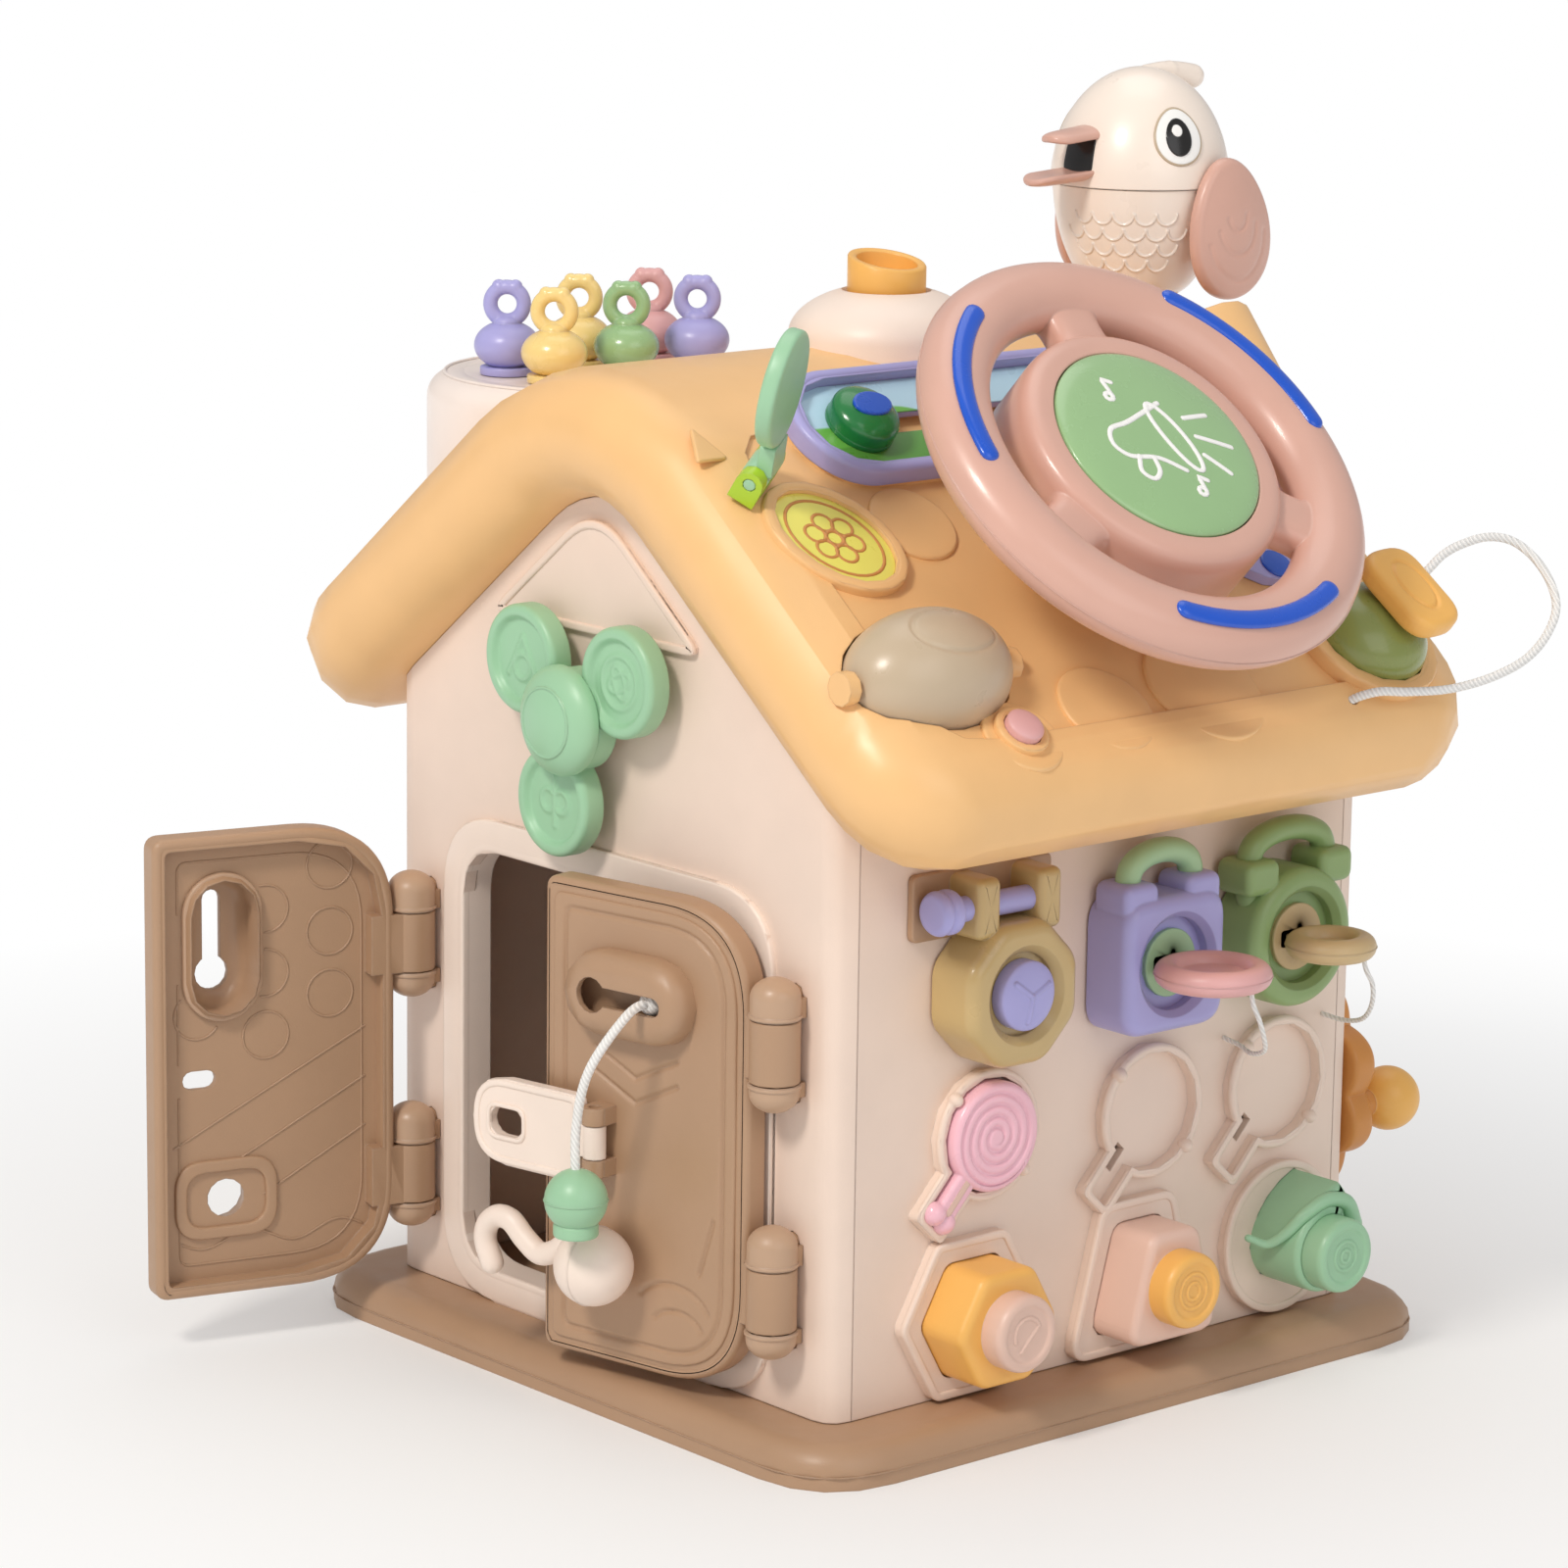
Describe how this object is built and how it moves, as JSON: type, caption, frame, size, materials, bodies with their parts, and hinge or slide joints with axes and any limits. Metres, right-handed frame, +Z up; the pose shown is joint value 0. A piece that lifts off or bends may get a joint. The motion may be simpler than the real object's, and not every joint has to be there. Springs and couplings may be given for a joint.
{
  "type": "activity house toy",
  "caption": "Gabled toy house with hinged doors, padlocks and keys, shape sorters, a steering wheel, a spinner, pegs and a bird on its roof.",
  "frame": {"origin": "middle of the underside of the base tray, under the centre of the house body", "axes": "+Z up, -Y out of the gable wall with the doors, +X out of the wall with the padlocks, the ridge runs along Y"},
  "size_m": [0.3932, 0.4112, 0.468],
  "materials": {
    "door_brown": "satin",
    "dusty_rose": "satin",
    "trim_cream": "satin",
    "amber": "satin",
    "mint": "satin",
    "cord_white": "braided",
    "pink": "satin",
    "taupe": "satin",
    "lime": "satin",
    "crank_orange": "satin",
    "wall_cream": "satin",
    "olive": "satin",
    "sage": "satin",
    "candy_pink": "satin",
    "tan": "satin",
    "lavender": "satin",
    "khaki": "satin",
    "lock_green": "satin",
    "pale_yellow": "satin",
    "drum_cream": "satin",
    "roof_peach": "satin",
    "deep_green": "satin"
  },
  "bodies": {
    "house": {"base_tray": "door_brown", "front_wall": "wall_cream", "right_wall": "wall_cream", "left_wall": "wall_cream", "rear_wall": "wall_cream", "roof_shell": "roof_peach", "hinge_bracket_left": "door_brown", "hinge_bracket_right": "door_brown", "picture_tray": "lavender", "padlock_octagon": "khaki", "padlock_square": "lavender", "padlock_round": "lock_green", "peg_drum": "drum_cream", "dome_base": "trim_cream", "bird_body": "trim_cream", "flap_bracket": "lime", "spinner_cap": "mint", "pull_grip": "amber", "grip_cord": "cord_white", "key_string_pink": "cord_white", "key_string_tan": "cord_white"},
    "left_door": {"left_door": "door_brown"},
    "right_door": {"right_door": "door_brown", "door_cord": "cord_white", "door_bead": "mint"},
    "hasp": {"latch_hasp": "trim_cream"},
    "hook": {"hook_knob": "trim_cream"},
    "spinner": {"spinner_rotor": "mint"},
    "wheel": {"steering_wheel": "dusty_rose"},
    "horn": {"horn_button": "sage"},
    "slider": {"slider_knob": "deep_green"},
    "flap": {"flap": "mint"},
    "egg": {"egg_roller": "taupe"},
    "egg_button": {"egg_button": "pink"},
    "dial": {"green_dial": "olive"},
    "spout": {"dome_spout": "amber"},
    "peg_1": {"peg_1": "lavender"},
    "peg_2": {"peg_2": "pale_yellow"},
    "peg_3": {"peg_3": "pink"},
    "peg_4": {"peg_4": "pale_yellow"},
    "peg_5": {"peg_5": "sage"},
    "peg_6": {"peg_6": "lavender"},
    "bird_head": {"bird_head": "trim_cream", "bird_beak": "dusty_rose"},
    "wing_left": {"wing_left": "dusty_rose"},
    "wing_right": {"wing_right": "dusty_rose"},
    "bolt": {"padlock_bolt": "lavender"},
    "lock_dial": {"padlock_dial": "lavender"},
    "shackle_square": {"shackle_square": "sage"},
    "shackle_round": {"shackle_round": "lock_green"},
    "rotor_square": {"rotor_square": "sage"},
    "rotor_round": {"rotor_round": "khaki"},
    "key_pink": {"key_pink": "pink"},
    "key_tan": {"key_tan": "tan"},
    "key_lollipop": {"key_lollipop": "candy_pink"},
    "block_hexagon": {"block_hexagon": "amber"},
    "block_trapezoid": {"block_trapezoid": "dusty_rose"},
    "block_leaf": {"block_leaf": "mint"},
    "flower": {"flower_crank": "crank_orange"}
  },
  "joints": [
    {"name": "left_door_hinge", "type": "hinge", "parent": "house", "child": "left_door", "pos_m": [-0.104, -0.1394, 0], "axis": [0, 0, 1], "range_deg": [-45, 75]},
    {"name": "right_door_hinge", "type": "hinge", "parent": "house", "child": "right_door", "pos_m": [0.104, -0.1394, 0], "axis": [0, 0, 1], "range_deg": [-10.2, 95]},
    {"name": "hasp_hinge", "type": "hinge", "parent": "right_door", "child": "hasp", "pos_m": [0.03396, -0.16237, 0.104], "axis": [0, 0, 1], "range_deg": [0, 80]},
    {"name": "hook_turn", "type": "hinge", "parent": "right_door", "child": "hook", "pos_m": [0.03854, -0.15392, 0.061], "axis": [0.1771, -0.9842, 0], "range_deg": [-8, 22]},
    {"name": "spinner_turn", "type": "hinge", "parent": "house", "child": "spinner", "pos_m": [-0.004, -0.1373, 0.248], "axis": [0, -1, 0], "continuous": true},
    {"name": "wheel_turn", "type": "hinge", "parent": "house", "child": "wheel", "pos_m": [0.15078, -0.015, 0.34769], "axis": [0.6884, 0, 0.7254], "continuous": true},
    {"name": "horn_press", "type": "slide", "parent": "wheel", "child": "horn", "axis": [0.6884, 0, 0.7254], "range_m": [-0.003, 0], "stiffness_N_per_m": 400},
    {"name": "slider_slide", "type": "slide", "parent": "house", "child": "slider", "axis": [0, 1, 0], "range_m": [0, 0.105]},
    {"name": "flap_hinge", "type": "hinge", "parent": "house", "child": "flap", "pos_m": [0.07985, -0.1284, 0.34674], "axis": [-0.4466, 0.8211, 0.3553], "range_deg": [0, 108]},
    {"name": "egg_roll", "type": "hinge", "parent": "house", "child": "egg", "pos_m": [0.14472, -0.109, 0.28223], "axis": [0, 1, 0], "continuous": true},
    {"name": "egg_button_press", "type": "slide", "parent": "house", "child": "egg_button", "axis": [0.6225, 0, 0.7826], "range_m": [-0.0025, 0], "stiffness_N_per_m": 300},
    {"name": "dial_turn", "type": "hinge", "parent": "house", "child": "dial", "pos_m": [0.15724, 0.092, 0.27227], "axis": [0.6225, 0, 0.7826], "continuous": true},
    {"name": "spout_turn", "type": "hinge", "parent": "house", "child": "spout", "pos_m": [0, 0, 0.389], "axis": [0, 0, 1], "continuous": true},
    {"name": "peg_1_lift", "type": "slide", "parent": "house", "child": "peg_1", "axis": [0, 0, 1], "range_m": [0, 0.02]},
    {"name": "peg_2_lift", "type": "slide", "parent": "house", "child": "peg_2", "axis": [0, 0, 1], "range_m": [0, 0.02]},
    {"name": "peg_3_lift", "type": "slide", "parent": "house", "child": "peg_3", "axis": [0, 0, 1], "range_m": [0, 0.02]},
    {"name": "peg_4_lift", "type": "slide", "parent": "house", "child": "peg_4", "axis": [0, 0, 1], "range_m": [0, 0.02]},
    {"name": "peg_5_lift", "type": "slide", "parent": "house", "child": "peg_5", "axis": [0, 0, 1], "range_m": [0, 0.02]},
    {"name": "peg_6_lift", "type": "slide", "parent": "house", "child": "peg_6", "axis": [0, 0, 1], "range_m": [0, 0.02]},
    {"name": "head_turn", "type": "hinge", "parent": "house", "child": "bird_head", "pos_m": [0, 0.1285, 0.381], "axis": [0, 0, 1], "range_deg": [-30, 30]},
    {"name": "wing_left_swing", "type": "hinge", "parent": "house", "child": "wing_left", "pos_m": [0, 0.1285, 0.412], "axis": [1, 0, 0], "range_deg": [-15, 15]},
    {"name": "wing_right_swing", "type": "hinge", "parent": "house", "child": "wing_right", "pos_m": [0, 0.1285, 0.412], "axis": [1, 0, 0], "range_deg": [-15, 15]},
    {"name": "bolt_slide", "type": "slide", "parent": "house", "child": "bolt", "axis": [0, 1, 0], "range_m": [-0.014, 0.003]},
    {"name": "lock_dial_turn", "type": "hinge", "parent": "house", "child": "lock_dial", "pos_m": [0.1426, -0.061, 0.164], "axis": [1, 0, 0], "continuous": true},
    {"name": "shackle_square_lift", "type": "slide", "parent": "house", "child": "shackle_square", "axis": [0, 0, 1], "range_m": [0, 0.008]},
    {"name": "shackle_round_lift", "type": "slide", "parent": "house", "child": "shackle_round", "axis": [0, 0, 1], "range_m": [0, 0.008]},
    {"name": "rotor_square_turn", "type": "hinge", "parent": "house", "child": "rotor_square", "pos_m": [0.1313, 0.013, 0.164], "axis": [1, 0, 0], "range_deg": [0, 90], "deforming": ["key_string_pink"]},
    {"name": "rotor_round_turn", "type": "hinge", "parent": "house", "child": "rotor_round", "pos_m": [0.1313, 0.078, 0.164], "axis": [1, 0, 0], "range_deg": [0, 90], "deforming": ["key_string_tan"]},
    {"name": "key_pink_pull", "type": "slide", "parent": "rotor_square", "child": "key_pink", "axis": [1, 0, 0], "range_m": [0, 0.03]},
    {"name": "key_tan_pull", "type": "slide", "parent": "rotor_round", "child": "key_tan", "axis": [1, 0, 0], "range_m": [0, 0.03]},
    {"name": "key_lollipop_pull", "type": "slide", "parent": "house", "child": "key_lollipop", "axis": [1, 0, 0], "range_m": [0, 0.03]},
    {"name": "block_hexagon_pull", "type": "slide", "parent": "house", "child": "block_hexagon", "axis": [1, 0, 0], "range_m": [0, 0.04]},
    {"name": "block_trapezoid_pull", "type": "slide", "parent": "house", "child": "block_trapezoid", "axis": [1, 0, 0], "range_m": [0, 0.04]},
    {"name": "block_leaf_pull", "type": "slide", "parent": "house", "child": "block_leaf", "axis": [1, 0, 0], "range_m": [0, 0.04]},
    {"name": "flower_turn", "type": "hinge", "parent": "house", "child": "flower", "pos_m": [0.084, 0.1303, 0.09], "axis": [0, 1, 0], "continuous": true}
  ]
}
